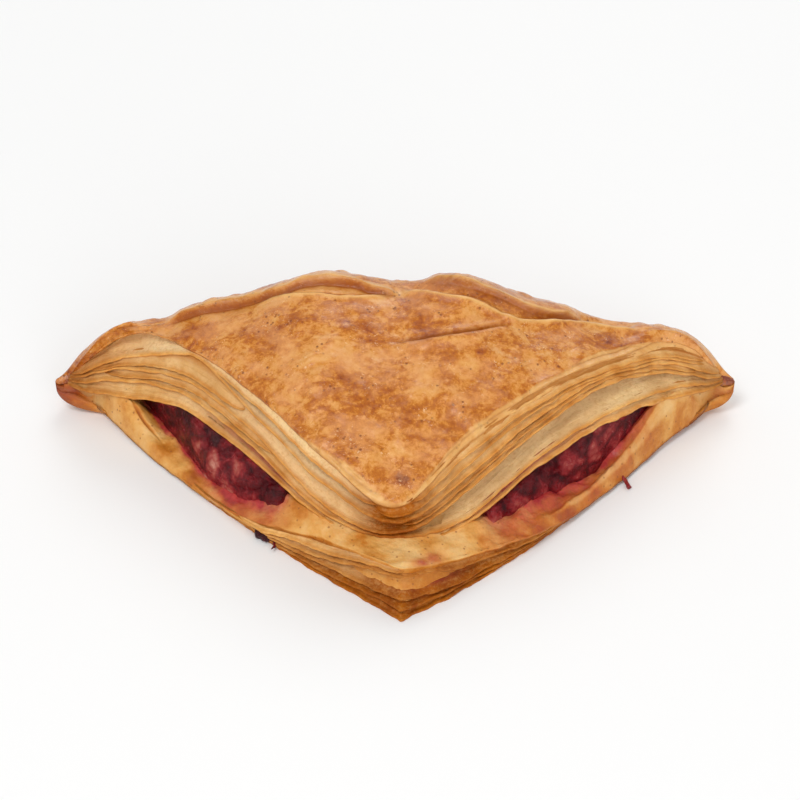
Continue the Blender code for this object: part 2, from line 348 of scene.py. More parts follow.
class Look:
    """A material whose nodes are made by short methods. Sizes are in millimetres."""

    def __init__(self, name):
        self.material = bpy.data.materials.new(name)
        self.material.use_nodes = True
        self.tree = self.material.node_tree

    def feed(self, value, socket):
        """Links the socket to another, or sets it to a number, a vector or a colour."""
        if isinstance(value, bpy.types.NodeSocket):
            self.tree.links.new(value, socket)
        else:
            socket.default_value = (*value, 1.0) if socket.type == "RGBA" else value

    def add(self, kind, inputs=(), **settings):
        """A new node, with its settings made and its inputs fed by name or number."""
        node = self.tree.nodes.new("ShaderNode" + kind)
        for key, value in settings.items():
            setattr(node, key, value)
        for key, value in dict(inputs).items():
            self.feed(value, node.inputs[key])
        return node

    def surface(self, inputs):
        for key, value in inputs.items():
            self.feed(value, self.tree.nodes["Principled BSDF"].inputs[key])
        return self.material

    @cached_property
    def place(self):
        return self.add("TexCoord").outputs["Object"]

    def attribute(self, name):
        return self.add("Attribute", attribute_name=name).outputs["Fac"]

    def math(self, operation, first, second, clamp=False):
        return self.add("Math", {0: first, 1: second}, operation=operation, use_clamp=clamp).outputs[0]

    def times(self, first, second):
        return self.math("MULTIPLY", first, second)

    def rest(self, share):
        """What a share leaves of 1."""
        return self.math("SUBTRACT", 1.0, share, clamp=True)

    def sway(self, texture, strength):
        """A texture's swing to both sides of nought."""
        return self.times(self.math("SUBTRACT", texture, 0.5), strength)

    def swayed(self, value, texture, strength):
        return self.math("ADD", value, self.sway(texture, strength))

    def wander(self, share, texture, strength=0.9):
        """A share that a texture makes uneven where it isn't nought."""
        return self.math("ADD", share, self.times(share, self.sway(texture, strength)), clamp=True)

    def noise_at(self, vector, scale, detail, roughness, distortion=0.0):
        inputs = {"Vector": vector, "Scale": scale, "Detail": detail, "Roughness": roughness}
        return self.add("TexNoise", {**inputs, "Distortion": distortion}).outputs["Fac"]

    def noise(self, scale, detail, roughness=0.55, distortion=0.0, stretch=None):
        """A noise texture over the object, with so many features per millimetre."""
        place = self.place
        if stretch:
            place = self.add("Mapping", {"Vector": place, "Scale": stretch}).outputs["Vector"]
        return self.noise_at(place, scale / MM, detail, roughness, distortion)

    def ramp(self, source, *stops):
        """A colour ramp; each stop is a place and a colour or a single brightness."""
        node = self.add("ValToRGB", {"Fac": source})
        elements = node.color_ramp.elements
        while len(elements) < len(stops):
            elements.new(0.5)
        for element, (place, colour) in zip(elements, stops):
            element.position = place
            element.color = (*(colour if isinstance(colour, tuple) else (colour,) * 3), 1.0)
        return node.outputs["Color"]

    def dots(self, scale, size, soft_size, strength):
        """Scattered dots, so many per millimetre; sizes are in dot distances."""
        texture = self.add("TexVoronoi", {"Vector": self.place, "Scale": scale / MM})
        return self.ramp(texture.outputs["Distance"], (0.0, strength), (size, strength), (soft_size, 0.0))

    def paint(self, colour, share, over):
        """A colour with so much of another over it."""
        return self.add("Mix", {0: share, 6: colour, 7: over}, data_type="RGBA").outputs[2]

    def bump(self, height, distance, strength, below=None):
        inputs = {"Height": height, "Distance": distance * MM, "Strength": strength}
        if below:
            inputs["Normal"] = below
        return self.add("Bump", inputs).outputs["Normal"]


def skin_material():
    """Glazed, mottled skin; where it is torn back, the pale leaves under it show in lines. Painted
    highlights lie along the fold crests and as sparkles, and painted shade lies in the creases.
    """
    look = Look("baked_skin")
    brushed = look.noise(0.27, 9.0, 0.68, 0.8, stretch=(0.8, 1.1, 1.0))
    fine = look.noise(0.9, 6.0, 0.72, 0.3)
    tone = look.swayed(look.attribute("bake"), look.noise(0.10, 4.0, 0.6, 0.8), 0.75)
    tone = look.swayed(look.swayed(tone, brushed, 1.45), fine, 1.0)
    colour = look.ramp(
        tone,
        (0.05, (0.79, 0.40, 0.120)),
        (0.34, (0.70, 0.295, 0.060)),
        (0.46, (0.61, 0.215, 0.024)),
        (0.56, (0.50, 0.145, 0.007)),
        (0.78, (0.37, 0.083, 0.005)),
        (1.0, (0.19, 0.032, 0.008)),
    )
    rosy = look.ramp(look.noise(0.11, 5.0, 0.65, stretch=(1.0, 1.0, 3.0)), (0.46, 0.0), (0.62, 0.48))
    colour = look.paint(colour, rosy, (0.74, 0.33, 0.125))
    sparse = look.ramp(look.noise(0.14, 4.0, 0.7), (0.49, 0.0), (0.58, 1.0))
    pore = look.times(look.dots(0.62, 0.12, 0.22, 1.0), sparse)
    colour = look.paint(colour, look.times(pore, 0.75), (0.24, 0.055, 0.012))
    # Painted sparkle: tiny pale flecks that stand for glints of the glaze, a painted highlight.
    painted_sparkle = look.ramp(look.noise(1.7, 4.0, 0.6, 1.0), (0.60, 0.0), (0.67, 0.75))
    colour = look.paint(colour, look.times(painted_sparkle, sparse), (0.90, 0.62, 0.34))
    # Pale leaves where the skin is torn back, and painted highlights along the fold crests.
    pale = look.ramp(brushed, (0.3, (0.86, 0.52, 0.19)), (0.7, (0.72, 0.34, 0.08)))
    colour = look.paint(colour, look.attribute("leaves_and_crest_highlight"), pale)
    # Painted shade: dark amber in the creases and the fissure and between the torn leaves' steps.
    colour = look.paint(colour, look.times(look.attribute("line"), 0.85), (0.34, 0.080, 0.004))
    return look.surface({
        "Base Color": colour,
        "Roughness": look.ramp(look.noise(0.16, 4.0), (0.3, 0.26), (0.7, 0.50)),
        "Specular IOR Level": 0.10,
        "Coat Weight": 0.65,
        "Coat Roughness": 0.13,
        "Subsurface Weight": 0.06,
        "Subsurface Radius": (0.0015, 0.0007, 0.0003),
        "Normal": look.bump(look.rest(pore), 0.3, 0.8, look.bump(fine, 0.35, 0.6)),
        "Coat Normal": look.bump(brushed, 0.7, 0.5),
    })


def leaf_material():
    """Cut leaves in fine lines: golden at the edge, partly a painted highlight, cream in the hollow, and
    painted amber shade where they meet.
    """
    look = Look("leaf")
    lay, juice, pale = (look.attribute(key) for key in ("lay", "juice", "pale"))
    length = look.add("SeparateXYZ", {0: look.place}).outputs["X"]
    parts = {0: look.times(length, 0.12 / MM), 1: look.times(lay, 2.6), 2: look.attribute("seed")}
    lines = look.noise_at(look.add("CombineXYZ", parts).outputs[0], 1.0, 4.0, 0.62)
    blotch = look.noise(0.16, 5.0, 0.62, 0.4)
    speck = look.noise(1.1, 5.0, 0.72)
    cream = look.ramp(blotch, (0.3, (0.92, 0.63, 0.3)), (0.5, (0.84, 0.51, 0.2)), (0.7, (0.72, 0.36, 0.09)))
    gold = look.ramp(blotch, (0.3, (0.9, 0.5, 0.15)), (0.5, (0.79, 0.36, 0.08)), (0.7, (0.61, 0.22, 0.032)))
    # Gold along the edges: the edges' baked colour, and partly a painted highlight of their lit rims.
    rim = look.ramp(look.times(lay, 0.25), (0.0, 1.0), (0.12, 0.85), (0.45, 0.0))
    colour = look.paint(cream, look.wander(rim, blotch), gold)
    bright = look.wander(look.times(pale, look.rest(rim)), blotch)
    colour = look.paint(colour, bright, (0.95, 0.70, 0.37))
    # Painted shade: amber deep in the hollows and on the undersides, where the leaves meet.
    painted_crease_shade = look.ramp(look.attribute("deep"), (0.60, 0.0), (0.80, 0.5), (0.94, 1.0))
    colour = look.paint(colour, look.times(painted_crease_shade, 0.85), (0.46, 0.145, 0.010))
    sand = look.ramp(speck, (0.36, 0.45), (0.52, 0.0))
    colour = look.paint(colour, sand, (0.60, 0.29, 0.08))
    streak = look.times(look.ramp(lines, (0.30, 0.45), (0.43, 0.0)), look.rest(look.times(pale, 0.7)))
    colour = look.paint(colour, streak, (0.50, 0.19, 0.035))
    gleam = look.ramp(lines, (0.56, 0.0), (0.75, 0.4))
    colour = look.paint(colour, gleam, (0.86, 0.58, 0.28))
    brown = look.ramp(blotch, (0.3, (0.47, 0.135, 0.005)), (0.7, (0.25, 0.050, 0.003)))
    colour = look.paint(colour, look.wander(look.attribute("bake"), speck, 1.6), brown)
    wet = look.ramp(look.noise(0.35, 4.0, 0.6), (0.3, (0.40, 0.055, 0.05)), (0.7, (0.18, 0.018, 0.022)))
    colour = look.paint(colour, look.wander(juice, speck, 1.2), wet)
    return look.surface({
        "Base Color": colour,
        "Roughness": look.ramp(juice, (0.1, 0.50), (0.8, 0.22)),
        "Specular IOR Level": 0.14,
        "Subsurface Weight": 0.10,
        "Subsurface Radius": (0.002, 0.001, 0.0004),
        "Normal": look.bump(speck, 0.25, 0.7, look.bump(lines, 0.30, 0.6)),
    })


def sheet_material():
    """The lower sheet's upper side: pale yellow with caramel patches, stained by the fruit."""
    look = Look("lower_sheet")
    juice = look.attribute("juice")
    blotch = look.noise(0.13, 5.0, 0.62, 0.5)
    speck = look.noise(0.9, 5.0, 0.72)
    colour = look.ramp(
        look.swayed(look.swayed(look.attribute("bake"), blotch, 0.8), speck, 0.35),
        (0.0, (0.82, 0.50, 0.19)),
        (0.28, (0.73, 0.355, 0.085)),
        (0.5, (0.57, 0.195, 0.020)),
        (0.75, (0.38, 0.095, 0.010)),
        (1.0, (0.22, 0.042, 0.014)),
    )
    wet = look.ramp(look.noise(0.4, 5.0, 0.65), (0.3, (0.60, 0.070, 0.055)), (0.7, (0.32, 0.020, 0.026)))
    colour = look.paint(colour, look.wander(juice, blotch, 1.8), wet)
    folds = look.bump(look.noise(0.5, 4.0, 0.6), 0.5, 0.5)
    return look.surface({
        "Base Color": look.paint(colour, look.dots(0.5, 0.10, 0.18, 0.7), (0.34, 0.10, 0.02)),
        "Roughness": look.ramp(juice, (0.1, 0.42), (0.8, 0.16)),
        "Specular IOR Level": 0.3,
        "Subsurface Weight": 0.10,
        "Subsurface Radius": (0.002, 0.001, 0.0004),
        "Normal": look.bump(speck, 0.22, 0.6, folds),
    })


def jam_material():
    """Cooked cherries: painted shade between the pieces, lighter and browner where the pulp is thick."""
    look = Look("cherry_jam")
    cloud = look.noise(0.35, 6.0, 0.68, 0.6)
    colour = look.ramp(
        look.swayed(look.attribute("pulp"), cloud, 0.9),
        (0.05, (0.040, 0.001, 0.003)),
        (0.28, (0.12, 0.001, 0.004)),
        (0.50, (0.27, 0.015, 0.018)),
        (0.70, (0.40, 0.068, 0.052)),
        (1.0, (0.60, 0.25, 0.18)),
    )
    return look.surface({
        "Base Color": colour,
        "Roughness": look.ramp(cloud, (0.35, 0.10), (0.7, 0.34)),
        "Specular IOR Level": 0.22,
        "Subsurface Weight": 0.25,
        "Subsurface Radius": (0.004, 0.0006, 0.0006),
        "Normal": look.bump(look.noise(0.8, 6.0, 0.7, 0.9), 0.7, 0.9),
    })


# ---------------------------------------------------------------- the skin and fold

SKIN_STATIONS = 400
SKIN_POINTS, FOLD_POINTS, UNDER_POINTS, WALL_POINTS = 150, 40, 12, 7
SKIN_LIP = 0.8
WALL_TONE, LIP_TONE = 0.3, 0.55
# How far along x the skin and the fold reach, and the point (y, z) inside the fold that the skin and
# the full-length leaves end in
SKIN_REACH, FOLD_REACH, SKIN_ROUNDING = 79.5, HALF_LENGTH + 10.0, 9.0
HIDDEN_TIP = (TIP_Y + 1.5, 9.5)
LEAF_PITCH = 2.2
BUBBLE_PITCH, BUBBLE_SIZE = 4.2, 0.55
# How far behind the cut sides the wall lies that their leaves start from
WALL_RECESS = (
    (-80, 3.0), (-64, 9.4), (-50, 7.4), (-17, 6.4), (0, 4.6), (8, 6.0), (17, 8.0), (50, 8.8), (62, 7.0),
    (74, 4.0),
)

# Lines on the skin, as (x, y) points seen from above
FLAP = (
    (-56, 31.5), (-37, 30.0), (-32, 29.0), (-26, 27.8), (-22, 29.4), (-17, 29.8), (-11, 28.7), (-5, 27.0),
    (2, 26.6),
)
FLAP_TUCK = ((-34, 28.4), (-28, 27.6), (-21, 25.2), (-14, 23.5), (-8, 24.6), (-3, 26.6), (1, 27.4))
FRONT_PLEAT = (
    (0, 28.6), (5, 27.4), (13, 23.6), (18, 22.9), (24, 22.1), (29, 21.4), (39, 25.2), (47, 29.2),
    (60, 31.0),
)
REAR_PLEAT = ((6, 32.5), (14, 29.6), (20, 28.4), (27, 28.0), (32, 27.2), (38, 28.4), (46, 31.5))
FISSURE = ((-4, 11.4), (0, 12.1), (4, 12.7), (8, 13.2), (13, 13.4), (17.5, 14.6), (25, 18.9), (31, 22.0))
FOLD_FADE, FISSURE_FADE = 5.0, 12.0
BURNT_SPOT = (1.8, -22.3)

# Painted amber shade in the creases of the folds and the fissure, and painted highlights along the folds'
# crests: each is a line, how far behind it the mark lies, and the mark's width, strength and fade at its
# ends
CREASE_SHADES = (
    (FLAP, 0.0, 0.8, 1.0, FOLD_FADE),
    (REAR_PLEAT, 0.0, 0.7, 0.7, FOLD_FADE),
    (FISSURE, 0.0, 0.7, 1.0, FISSURE_FADE),
)
CREST_HIGHLIGHTS = (
    (FLAP_TUCK, 0.0, 0.55, 1.0, FOLD_FADE),
    (FRONT_PLEAT, 0.0, 0.55, 1.0, FOLD_FADE),
    (REAR_PLEAT, 1.1, 0.55, 0.9, FOLD_FADE),
    (FLAP, 1.6, 0.55, 0.8, FOLD_FADE),
)

# Where the skin's border is torn back, as a share of the way to the ridge
SKIN_BORDER = (
    (-20, 0.0), (-15, 0.03), (-9, 0.08), (-5, 0.04), (-1, 0.0), (4, 0.0), (8, 0.04), (16, 0.06),
    (24, 0.08), (32, 0.1), (40, 0.15), (49, 0.32), (58, 0.4), (64, 0.34), (72, 0.25), (80, 0.2),
)


def behind(x, y, line, fade=FOLD_FADE):
    """How far y lies behind a line of (x, y) points, and how strongly the line counts at x."""
    strength = ease(x, line[0][0], line[0][0] + fade) * fall(x, line[-1][0] - fade, line[-1][0])
    return y - route(x, line, 1.2), strength


def lip(across, rise, length, sharp):
    """A layer that starts with a step and settles again behind it."""
    return rise * ease(across, 0.0, sharp) * np.exp(-np.maximum(0.0, across) / length)


def skin_relief(x, y):
    """How far the skin stands proud at (x, y): swells, wrinkles, bubbles and blisters, and folds."""
    relief = 0.45 * shape_grain.layered(24.0, x, y) + 0.34 * wrinkle_grain.layered(8.0, x, y, octaves=4)
    near, _, size = wrinkle_grain.cells(BUBBLE_PITCH, np.stack(np.broadcast_arrays(x, y, 20.0), -1))
    relief += BUBBLE_SIZE * size**2 * np.maximum(0.0, 1.0 - (near / BUBBLE_SIZE) ** 2)
    relief += 0.10 * wrinkle_grain.layered(2.4, x, y, 9.0)
    blister = np.maximum(0.0, shape_grain(7.0, x, y, 40.0) - 0.2)
    relief += 1.3 * blister * ease(y, -34.0, -14.0) * (1.0 - 0.7 * ease(y, 5.0, 20.0))
    return relief - ease(y, 24.0, 30.0) + fold_relief(x, y)


def fold_relief(x, y):
    """The flap, the pleats and the fissure."""
    across, strength = behind(x, y, FLAP)
    relief = strength * lip(across, 2.6, 9.0, 1.1)
    across, strength = behind(x, y, FLAP_TUCK)
    relief += strength * (0.5 * hill(across, 0.7) - 0.3 * ease(across, 0.0, 1.5))
    across, strength = behind(x, y, FRONT_PLEAT)
    relief += strength * (1.2 * hill(across, 1.3) - hill(across - 3.4, 1.8))
    across, strength = behind(x, y, REAR_PLEAT)
    relief += strength * lip(across, 2.2, 8.0, 0.8)
    across, strength = behind(x, y, FISSURE, FISSURE_FADE)
    fissure = 1.7 * hill(across, 0.6) + 0.9 * hill(across - 3.0, 2.6)
    return relief + strength * (hill(across + 2.0, 1.7) - fissure)


def skin_lines(x, y, lines):
    """How far (x, y) lies on any of some marks along lines, from 0 to 1."""
    total = 0.0
    for line, shift, width, strength, fade in lines:
        across, reach = behind(x, y, line, fade)
        total = total + strength * reach * hill(across - shift, width)
    return np.clip(total, 0.0, 1.0)


def browning_and_painted_fold_shading(x, y):
    """How dark the skin is at (x, y), from 0 to 1: its browning, with painted shade and light at the folds.
    """
    tone = 0.48 + 0.22 * bake_grain.layered(14.0, x, y, octaves=4)
    across, strength = behind(x, y, FLAP)
    # Lighter just in front of the flap; then painted shade at the flap's foot and painted light on its
    # face.
    tone -= 0.22 * strength * ease(across, -4.5, -3.0) * fall(across, -0.8, 0.0)
    tone += 0.30 * strength * ease(across, -0.6, 0.0) * fall(across, 0.3, 0.8)
    tone -= 0.22 * strength * ease(across, 0.6, 1.2) * fall(across, 2.6, 4.0)
    across, strength = behind(x, y, REAR_PLEAT)
    # Painted shade in the valley in front of the rear pleat.
    tone += 0.22 * strength * ease(across, -3.5, -1.0) * fall(across, 0.4, 1.2)
    off_spot = (x - BURNT_SPOT[0]) ** 2 + (y - BURNT_SPOT[1]) ** 2
    tone += 0.75 * np.exp(-np.maximum(0.0, off_spot + 1.6 * wrinkle_grain.layered(1.6, x, y, 300.0)) / 2.0)
    return tone + (0.30 * ease(-x, 74.0, 82.0) - 0.12 * ease(np.abs(x), 62.0, 74.0))


def torn_border(x, px, inward, run):
    """Where the skin's border is torn back, the leaves' steps there, and painted shade lines between them.
    """
    border = route(x, SKIN_BORDER) * run + 0.35 * wrinkle_grain.layered(4.0, x, 200.0)
    border = (border * fall(np.abs(x), 73.0, 78.0))[:, None]
    torn = fall(inward - border, -0.15, 0.35) * (border > 0.3)
    wave = (inward + 0.55 * wrinkle_grain.layered(13.0, px, 0.0, 210.0)) / LEAF_PITCH
    step = wave - np.floor(wave)
    saw = 0.55 * (0.6 - step) * ease(step, 0.0, 0.12)
    steps = torn * (saw - 0.6 - 0.05 * np.maximum(0.0, border - inward))
    return torn, steps, 0.5 * torn * hill(1.0 - step, 0.22)


def drawn_in(x, rings, reach):
    """Rings drawn into the fold before the turnover's own tips, as the cut leaves end short of them."""
    into = np.clip((np.abs(x)[:, None] - reach + SKIN_ROUNDING) / SKIN_ROUNDING, 0.0, 1.0)
    hidden = towards_tip(x, np.full((len(x), 1, 2), HIDDEN_TIP))
    return mix(hidden, towards_tip(x, rings), round_off(into)[..., None])


def skin_outline(x):
    """The solid's skin edge and ridge, with a few swells that it leaves out and lower at the tips."""
    edge, top = skin_edge(x), ridge(x)
    edge += pair(swell(x, -61.0, 12.0, 0.8), swell(x, -61.0, 12.0, 1.9))
    top[:, 1] += swell(x, 67.0, 12.0, 1.4) - swell(x, -54.0, 12.0, 1.4) + swell(x, -67.0, 9.0, 1.2)
    top[:, 1] -= swell(x, -38.0, 12.0, 1.2) + swell(x, 31.0, 14.0, 1.0)
    top[:, 1] -= 5.0 * ease(np.abs(x), 76.0, 84.0) ** 1.3
    return edge, top


def skin_section(x, edge, top):
    """Open rings from the skin's edge over the ridge and round the fold to the underside."""
    s = np.linspace(0.0, 1.0, SKIN_POINTS) ** 0.92
    y = mix(edge[:, :1], top[:, :1], s)
    z = mix(edge[:, 1:], top[:, 1:], 1.0 - (1.0 - s) ** 1.6)
    angle = np.linspace(0.0, math.pi / 2.0, FOLD_POINTS + 1)[1:]
    depth = back_y(x)[:, None] - top[:, :1]
    waist = top[:, 1:] * FOLD_WAIST
    fold = pair(top[:, :1] + depth * np.sin(angle), mix(waist, top[:, 1:], np.cos(angle)))
    tuck = np.linspace(0.0, math.pi / 2.0, UNDER_POINTS + 1)[1:]
    under = pair(top[:, :1] + depth * np.sqrt(np.cos(tuck)), waist * (1.0 - np.sin(tuck)))
    rings = np.concatenate([pair(y, z), fold, under], 1)
    behind_ridge = ease(np.arange(rings.shape[1]), SKIN_POINTS, SKIN_POINTS + FOLD_POINTS)
    return drawn_in(x, rings, mix(SKIN_REACH, FOLD_REACH, behind_ridge))


def crust_inside(x, edge):
    """The unseen part of the crust's rings: round the room, and up the wall behind the leaves."""
    roof = roof_edge(x)
    back = back_y(x) - ROOM_BACK_WALL
    front = np.minimum(roof[:, 0] + 14.0, back - 3.0)
    room = [pair(back, 0.4), pair(back, roof_height(x, back) * 0.6), pair(back, roof_height(x, back))]
    room += [pair(front, roof_height(x, front)), roof + np.array([1.2, 0.5])]
    recess = pair(route(x, WALL_RECESS), 0.0)
    wall = [within(x, mix(roof, edge, share) + recess) for share in np.linspace(0.12, 0.92, WALL_POINTS)]
    return drawn_in(x, np.stack(room + wall, 1), SKIN_REACH)


def make_crust(skin, leaf):
    x = stations_of(SKIN_STATIONS)
    size = tip_size(x)[:, None]
    edge, top = skin_outline(x)
    outer = skin_section(x, edge, top)
    points = with_x(x, outer)
    px, py = points[..., 0], points[..., 1]
    weight = np.concatenate([np.ones(SKIN_POINTS + FOLD_POINTS), np.linspace(1.0, 0.0, UNDER_POINTS)])
    relief = skin_relief(px, py) * weight * size**0.5
    relief *= ease(np.arange(outer.shape[1]), -2.0, 5.0) * (1.0 - 0.75 * ease(np.abs(px), 66.0, 77.0))
    run = np.linalg.norm(top - edge, axis=1)
    torn, steps, line = torn_border(x, px, distance_along(outer), run)
    surface = proud(points, relief + steps)[..., 1:]
    hidden = crust_inside(x, edge)
    first = hidden.shape[1] + 1
    lip_under = surface[:, 0] + np.array([0.4, -1.0]) * SKIN_LIP * size
    rings = np.concatenate([hidden, lip_under[:, None], surface], 1)
    ragged = 0.45 * wrinkle_grain.layered(5.0, x, 60.0, octaves=4)
    ragged = pair(ragged, 0.3 * shape_grain.layered(12.0, x, 80.0)) * size
    rings[:, first - 1 : first + 2] += ragged[:, None]

    blank = np.zeros(rings.shape[:2])
    tone, leaves_and_crest_highlight, lines = blank + WALL_TONE, blank.copy(), blank.copy()
    tone[:, first - 1], tone[:, first:] = LIP_TONE, browning_and_painted_fold_shading(px, py)
    # Painted shade: amber under the skin's rim, at the top of the left pocket.
    tone[:, first - 4 : first - 1] += 0.5 * swell(x, -62.0, 16.0)[:, None]
    tone[:, :first] += 0.6 * ease(np.abs(x), 76.0, 80.0)[:, None]
    # Painted shade in the creases and the lines between the torn leaves' steps.
    lines[:, first:] = np.clip(line + skin_lines(px, py, CREASE_SHADES), 0.0, 1.0)
    # Leaves where the border is torn, and painted highlights along the fold crests.
    leaves_and_crest_highlight[:, first:] = np.maximum(torn * 0.85, skin_lines(px, py, CREST_HIGHLIGHTS))
    pale_lip = 0.8 * ease(x, 4.0, 14.0)[:, None]
    leaves_and_crest_highlight[:, first - 1 : first + 1] = np.maximum(leaves_and_crest_highlight[:, first - 1 : first + 1], pale_lip)
    # The bake values carry the browning together with the painted shade and light of the folds and pocket.
    values = {"bake": tone, "leaves_and_crest_highlight": leaves_and_crest_highlight, "line": lines, "juice": 0.0, "pale": 0.0}
    # The crust's cut side gets part of the leaves' painted crease shade.
    values.update({"lay": 3.0, "deep": 0.7})
    cut_side = np.zeros((SKIN_STATIONS - 1, rings.shape[1]), int)
    cut_side[:, : first - 1] = 1
    cut_side = np.concatenate([cut_side.ravel(), np.zeros(2 * rings.shape[1], int)])
    return loft("crust", with_x(x, rings), [skin, leaf], values, cut_side)


# ---------------------------------------------------------------- the lower sheet

SHEET_STATIONS, SHEET_POINTS = 420, 84
SHEET_BOTTOM = 0.1
# How the sheet's rim rises above the solid's and lies behind it, and how far its foot lies behind
RIM_RISE = (
    (-84, -1.0), (-82, 3.6), (-80, 6.5), (-78, 5.0), (-75, 2.0), (-71, 0.8), (-67, 0.4), (-62, 0.0),
    (-33, 0.6), (-17, 1.3), (-6, 1.1), (2, 1.1), (10, 0.6), (18, 0.4), (34, 0.8), (60, 0.0), (68, 0.6),
    (75, 1.4), (78, 3.5), (80, 5.0), (82, 2.6), (84, -1.0),
)
RIM_SETBACK = (
    (-60, 0.0), (-33, 0.8), (-17, 1.8), (0, 1.0), (10, 0.6), (34, 1.0), (46, 2.2), (56, 2.4), (63, 3.6),
    (68, 3.2), (74, 1.0), (84, 0.0),
)
FOOT_SETBACK = (
    (-16, 0.0), (-4, 0.8), (6, 0.8), (13, 0.3), (20, 0.8), (32, 1.0), (42, 2.6), (54, 2.8), (63, 4.2),
    (68, 3.8), (73, 1.2), (80, -1.2),
)
# The fold along the sheet's border, how uneven the sheet is, and how brown it is beside that fold
BORDER_FOLD = ((34, 0.0), (42, 0.8), (70, 1.0), (80, 0.2))
SHEET_HUMPS = ((10, 1.0), (24, 1.9), (60, 1.7), (76, 1.0))
BORDER_BROWNING = ((20, 0.0), (34, 0.34), (60, 0.34), (74, 0.2))
# How far the fruit's juice has soaked forward from it
JUICE_SPREAD = (
    (-60, 0.7), (-50, 0.9), (-45, 3.0), (-38, 5.0), (-28, 3.2), (10, 1.5), (20, 4.5), (30, 7.0),
    (42, 5.5), (60, 2.0),
)


def sheet_foot(x, height=0.0):
    return pair(foot_y(x) + route(x, FOOT_SETBACK), height)


def sheet_rim(x):
    """The front edge of the lower sheet's top leaf, just above and behind the edge of the pile."""
    return base_edge(x) + pair(route(x, RIM_SETBACK), route(x, RIM_RISE))


def sheet_top(x, y):
    """The height of the lower sheet's upper surface at (x, y), lower where the mouths are open."""
    rim, roof = sheet_rim(x), roof_edge(x)
    share = np.clip((y - rim[..., 0]) / np.maximum(1.0, roof[..., 0] - rim[..., 0]), 0.0, 1.0)
    inner = mix(roof[..., 1] - 0.6, rim[..., 1], ease(np.abs(x), 72.0, 78.0))
    sealed = mix(rim[..., 1], inner, share**0.85)
    floor = rim[..., 1] + np.maximum(0.0, y - rim[..., 0]) * FLOOR_SLOPE
    inside = ease(y, roof[..., 0] + 1.0, roof[..., 0] + 6.0) * fall(np.abs(x), 66.0, 76.0)
    height = mix(sealed, np.minimum(floor, ROOM_FLOOR + 1.0), route(x, MOUTH_GAPE, 2.0))
    return mix(height, np.minimum(height, ROOM_FLOOR), inside)


def crack(x, inward):
    """A short caramel-brown crack in the lower sheet near the left tip."""
    return swell(x, -60.5, 5.0) * hill(inward - 5.0 - 1.6 * shape_grain(5.0, x, 170.0), 0.5)


def border_fold(x, inward):
    return route(x, BORDER_FOLD)[:, None] * hill(inward - 2.4, 1.0)


def sheet_surface(x, rim, y):
    """The sheet's upper side as rings of (y, z): uneven, folded and cracked, with a ragged rim."""
    column, inward = x[:, None], y - rim[:, :1]
    hump = 0.45 * shape_grain.layered(10.0, column, y, 90.0)
    hump += 0.32 * wrinkle_grain.layered(3.5, column, y, 95.0) - 0.7 * crack(column, inward)
    hump *= route(x, SHEET_HUMPS)[:, None]
    at_tip = ease(np.abs(column), 67.0, 77.0)
    drop = ease(np.abs(column), 30.0, 46.0) * np.minimum(1.3, 0.45 * rim[:, 1:]) + 2.6 * at_tip
    z = sheet_top(column, y) + hump * ease(inward, 0.0, 1.5) + border_fold(x, inward)
    top = pair(y, z - drop * hill(inward, mix(0.9, 2.2, at_tip)))
    ragged = pair(0.5 * wrinkle_grain.layered(5.0, x, 130.0, octaves=4), 0.25 * shape_grain(9.0, x, 132.0))
    top[:, :4] += ragged[:, None] * np.array([1.0, 0.8, 0.5, 0.25])[None, :, None]
    return top


def sheet_underside(x, rim, top):
    """The sheet's bottom and front wall, from the back to the lip under its rim."""
    thin = fall(np.abs(x), 30.0, 46.0)
    foot_line, back = sheet_foot(x), back_y(x) - ROOM_BACK_WALL + 2.0
    recess = mix(mix(-0.4, 1.8, thin), -0.6, ease(np.abs(x), 67.0, 77.0))
    wall_high = mix(foot_line, rim, 0.60) + pair(recess, 0.0)
    wall_low = foot_line + pair(mix(0.1, 1.2, thin), 0.6)
    bottom = [pair(y, SHEET_BOTTOM) for y in (back, mix(back, foot_line[:, 0], 0.5), foot_line[:, 0] + 1.4)]
    lip_under = top[:, 0] + pair(0.2 - 0.5 * (1.0 - thin), -0.65)
    return [*bottom, wall_low, mix(wall_low, wall_high, 0.5), wall_high, lip_under]


def sheet_marks(x, y, inward):
    """How brown the sheet's upper side is, and how far the fruit's juice has soaked into it."""
    column = x[:, None]
    soak = shape_grain.layered(6.0, column, y, 150.0)

    def spot(spot_x, spot_inward):
        far = (column - spot_x) ** 2 / 7.0 + (inward - spot_inward) ** 2 / 4.0 + 0.8 * soak
        return np.exp(-np.maximum(0.0, far))

    baked = 0.26 + 0.34 * bake_grain.layered(9.0, column, y, 160.0, octaves=4)
    baked += route(x, BORDER_BROWNING)[:, None] * fall(border_fold(x, inward), 0.15, 0.6)
    baked += 0.50 * ease(-column, 71.0, 80.0) + 0.04 * ease(column, 68.0, 80.0)
    baked += 0.12 * ease(-column, 44.0, 54.0) + swell(column, -36.0, 14.0, 0.20)
    baked += 0.45 * crack(column, inward)
    baked += 0.6 * spot(-38.8, 3.6) + 0.35 * spot(7.5, 1.5)
    reach = np.maximum(0.0, fruit_front(x)[:, None] - y)
    juice = np.exp(-np.maximum(0.0, reach - 0.5 + 1.6 * soak) / route(x, JUICE_SPREAD)[:, None])
    juice *= mouth_open(x, -4.0)[:, None]
    juice += 0.9 * spot(7.5, 1.5) + 0.16 * ease(np.abs(column), 70.0, 79.0)
    return np.clip(baked, 0.0, 1.0), np.clip(juice, 0.0, 1.0)


